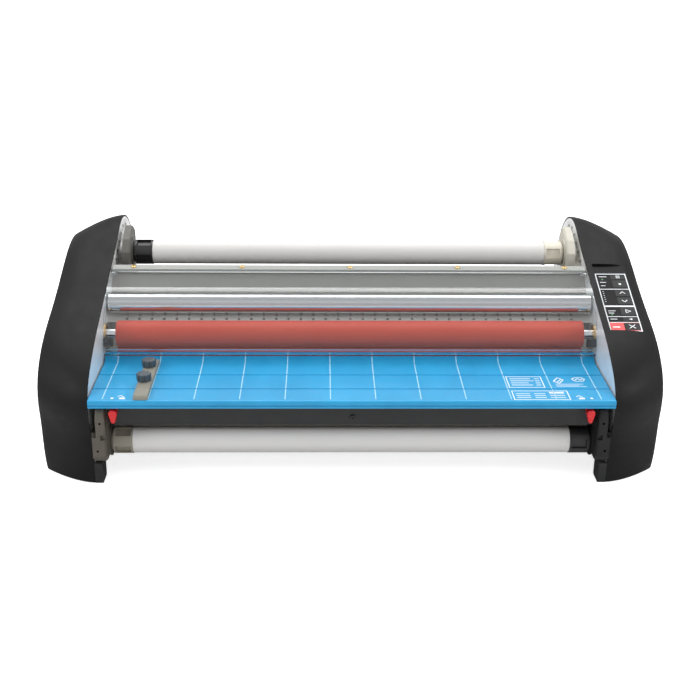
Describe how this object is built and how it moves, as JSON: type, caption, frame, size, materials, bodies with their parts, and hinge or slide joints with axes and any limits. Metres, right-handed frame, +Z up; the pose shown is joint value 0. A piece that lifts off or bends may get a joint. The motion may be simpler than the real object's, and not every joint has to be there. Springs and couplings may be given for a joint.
{
  "type": "roll laminator",
  "caption": "Wide hot roll laminator: film rolls above and below, heated red rollers between charcoal side covers, blue feed tray, clear shield.",
  "frame": {"origin": "centre of the footprint, on the surface the feet stand on", "axes": "+X to the operator's right along the rollers, +Y away from the operator, +Z up"},
  "size_m": [0.9, 0.5001, 0.3007],
  "materials": {
    "bar_grey": "satin anodised",
    "black_steel": "black powder coat",
    "bracket_beige": "moulded",
    "bracket_black": "moulded",
    "bracket_grey": "moulded",
    "bracket_stone": "moulded",
    "brass": "nickel-free brass",
    "bronze": "machined",
    "cap_beige": "moulded",
    "cap_black": "moulded",
    "cap_stone": "moulded",
    "chrome_roll": "polished",
    "clear_sheet": "clear polycarbonate",
    "cover_plastic": "fine textured charcoal",
    "fan_black": "moulded",
    "foot_rubber": "moulded",
    "gear_nylon": "moulded nylon",
    "gear_steel": "hobbed",
    "grey_steel": "grey powder coat",
    "guide_beige": "moulded",
    "heater_glass": "quartz tube",
    "key_black": "soft gloss",
    "knob_slate": "moulded",
    "latch_red": "moulded",
    "motor_paint": "enamel",
    "panel_black": "printed overlay",
    "plate_steel": "zinc plated, satin",
    "rubber_black": "ground rubber",
    "silicone_red": "matt silicone",
    "steel_shaft": "ground",
    "switch_black": "moulded",
    "tray_blue": "satin blue",
    "tube_silver": "satin"
  },
  "bodies": {
    "chassis": {"base_pan": "grey_steel", "chassis_screws": "black_steel", "control_panel": "panel_black", "drive_motor": "motor_paint", "fan_frames": "fan_black", "feet": "foot_rubber", "film_guard": "grey_steel", "front_panel": "black_steel", "heat_guard": "grey_steel", "heaters": "heater_glass", "lower_bracket_left": "bracket_stone", "lower_bracket_right": "bracket_black", "power_module": "switch_black", "rear_panel": "black_steel", "roller_bushings": "bronze", "shield_catches": "bracket_black", "side_cover_left": "cover_plastic", "side_cover_right": "cover_plastic", "side_plate_left": "plate_steel", "side_plate_right": "plate_steel", "tie_bars": "black_steel", "upper_bracket_left": "bracket_grey", "upper_bracket_right": "bracket_beige"},
    "upper_heat_roller": {"upper_heat_core": "steel_shaft", "upper_heat_sleeve": "silicone_red", "upper_heat_gear": "gear_steel"},
    "lower_heat_roller": {"lower_heat_core": "steel_shaft", "lower_heat_sleeve": "silicone_red", "lower_heat_gear": "gear_steel"},
    "upper_pull": {"upper_pull_roller": "rubber_black"},
    "lower_pull": {"lower_pull_roller": "rubber_black"},
    "transfer_gear": {"idler_gear": "gear_nylon"},
    "pinion": {"motor_pinion": "gear_steel"},
    "upper_idler": {"upper_film_idler": "chrome_roll"},
    "lower_idler": {"lower_film_idler": "chrome_roll"},
    "upper_supply": {"upper_film_tube": "tube_silver", "upper_cap_left": "cap_black", "upper_cap_right": "cap_beige"},
    "lower_supply": {"lower_film_tube": "tube_silver", "lower_cap_left": "cap_stone", "lower_cap_right": "cap_black"},
    "shield": {"safety_shield": "clear_sheet", "shield_bar": "bar_grey", "shield_screws": "brass"},
    "tray": {"feed_tray": "tray_blue"},
    "guide": {"edge_guide": "guide_beige"},
    "knob_front": {"guide_knob_front": "knob_slate"},
    "knob_rear": {"guide_knob_rear": "knob_slate"},
    "latch_left": {"tray_latch_left": "latch_red"},
    "latch_right": {"tray_latch_right": "latch_red"},
    "fan_left": {"fan_rotor_left": "fan_black"},
    "fan_right": {"fan_rotor_right": "fan_black"},
    "rocker": {"power_rocker": "switch_black"},
    "menu_button": {"menu_key": "key_black"},
    "setup_button": {"setup_key": "key_black"},
    "up_button": {"up_key": "key_black"},
    "down_button": {"down_key": "key_black"},
    "run_button": {"run_key": "key_black"},
    "reverse_button": {"reverse_key": "key_black"},
    "stop_button": {"stop_key": "key_black"}
  },
  "joints": [
    {"name": "lower_heat_spin", "type": "hinge", "parent": "chassis", "child": "lower_heat_roller", "pos_m": [0, -0.078, 0.136], "axis": [1, 0, 0], "continuous": true},
    {"name": "upper_heat_spin", "type": "hinge", "parent": "chassis", "child": "upper_heat_roller", "pos_m": [0, -0.078, 0.176], "axis": [1, 0, 0], "continuous": true},
    {"name": "lower_pull_spin", "type": "hinge", "parent": "chassis", "child": "lower_pull", "pos_m": [0, 0.118, 0.136], "axis": [1, 0, 0], "continuous": true},
    {"name": "upper_pull_spin", "type": "hinge", "parent": "chassis", "child": "upper_pull", "pos_m": [0, 0.118, 0.176], "axis": [1, 0, 0], "continuous": true},
    {"name": "transfer_spin", "type": "hinge", "parent": "chassis", "child": "transfer_gear", "pos_m": [0, 0.02, 0.136], "axis": [1, 0, 0], "continuous": true},
    {"name": "pinion_spin", "type": "hinge", "parent": "chassis", "child": "pinion", "pos_m": [0, 0.08512, 0.06821], "axis": [1, 0, 0], "continuous": true},
    {"name": "upper_idler_spin", "type": "hinge", "parent": "chassis", "child": "upper_idler", "pos_m": [0, -0.046, 0.213], "axis": [1, 0, 0], "continuous": true},
    {"name": "lower_idler_spin", "type": "hinge", "parent": "chassis", "child": "lower_idler", "pos_m": [0, -0.12, 0.099], "axis": [1, 0, 0], "continuous": true},
    {"name": "upper_supply_spin", "type": "hinge", "parent": "chassis", "child": "upper_supply", "pos_m": [0, 0.078, 0.257], "axis": [1, 0, 0], "continuous": true},
    {"name": "lower_supply_spin", "type": "hinge", "parent": "chassis", "child": "lower_supply", "pos_m": [0, -0.205, 0.061], "axis": [1, 0, 0], "continuous": true},
    {"name": "shield_lift", "type": "hinge", "parent": "chassis", "child": "shield", "pos_m": [0, 0.008, 0.24888], "axis": [-1, 0, 0], "range_deg": [0, 95]},
    {"name": "tray_pull_out", "type": "slide", "parent": "chassis", "child": "tray", "axis": [0, -1, 0], "range_m": [0, 0.12]},
    {"name": "guide_slide", "type": "slide", "parent": "tray", "child": "guide", "axis": [1, 0, 0], "range_m": [-0.055, 0.5]},
    {"name": "knob_front_turn", "type": "hinge", "parent": "guide", "child": "knob_front", "pos_m": [-0.298, -0.192, 0.149], "axis": [0, 0, 1], "range_deg": [0, 360]},
    {"name": "knob_rear_turn", "type": "hinge", "parent": "guide", "child": "knob_rear", "pos_m": [-0.298, -0.14, 0.149], "axis": [0, 0, 1], "range_deg": [0, 360]},
    {"name": "latch_left_turn", "type": "hinge", "parent": "chassis", "child": "latch_left", "pos_m": [-0.336, -0.222, 0.12], "axis": [0, -1, 0], "range_deg": [0, 90]},
    {"name": "latch_right_turn", "type": "hinge", "parent": "chassis", "child": "latch_right", "pos_m": [0.336, -0.222, 0.12], "axis": [0, 1, 0], "range_deg": [0, 90]},
    {"name": "fan_left_spin", "type": "hinge", "parent": "chassis", "child": "fan_left", "pos_m": [-0.15, 0.02, 0.045], "axis": [0, 0, 1], "continuous": true},
    {"name": "fan_right_spin", "type": "hinge", "parent": "chassis", "child": "fan_right", "pos_m": [0.15, 0.02, 0.045], "axis": [0, 0, 1], "continuous": true},
    {"name": "power_switch", "type": "hinge", "parent": "chassis", "child": "rocker", "pos_m": [-0.27, 0.233, 0.074], "axis": [1, 0, 0], "range_deg": [-8, 8]},
    {"name": "menu_press", "type": "slide", "parent": "chassis", "child": "menu_button", "axis": [0, 0.3472, -0.9378], "range_m": [0, 0.0008]},
    {"name": "setup_press", "type": "slide", "parent": "chassis", "child": "setup_button", "axis": [0, 0.3472, -0.9378], "range_m": [0, 0.0008]},
    {"name": "up_press", "type": "slide", "parent": "chassis", "child": "up_button", "axis": [0, 0.3472, -0.9378], "range_m": [0, 0.0008]},
    {"name": "down_press", "type": "slide", "parent": "chassis", "child": "down_button", "axis": [0, 0.3472, -0.9378], "range_m": [0, 0.0008]},
    {"name": "run_press", "type": "slide", "parent": "chassis", "child": "run_button", "axis": [0, 0.3472, -0.9378], "range_m": [0, 0.0008]},
    {"name": "reverse_press", "type": "slide", "parent": "chassis", "child": "reverse_button", "axis": [0, 0.3472, -0.9378], "range_m": [0, 0.0008]},
    {"name": "stop_press", "type": "slide", "parent": "chassis", "child": "stop_button", "axis": [0, 0.3472, -0.9378], "range_m": [0, 0.0008]}
  ],
  "couplings": [
    {"joint": "upper_heat_spin", "follows": "lower_heat_spin", "ratio": -1},
    {"joint": "transfer_spin", "follows": "lower_heat_spin", "ratio": -0.25641},
    {"joint": "lower_pull_spin", "follows": "lower_heat_spin", "ratio": 1},
    {"joint": "upper_pull_spin", "follows": "lower_heat_spin", "ratio": -1},
    {"joint": "pinion_spin", "follows": "lower_heat_spin", "ratio": 1.25}
  ]
}
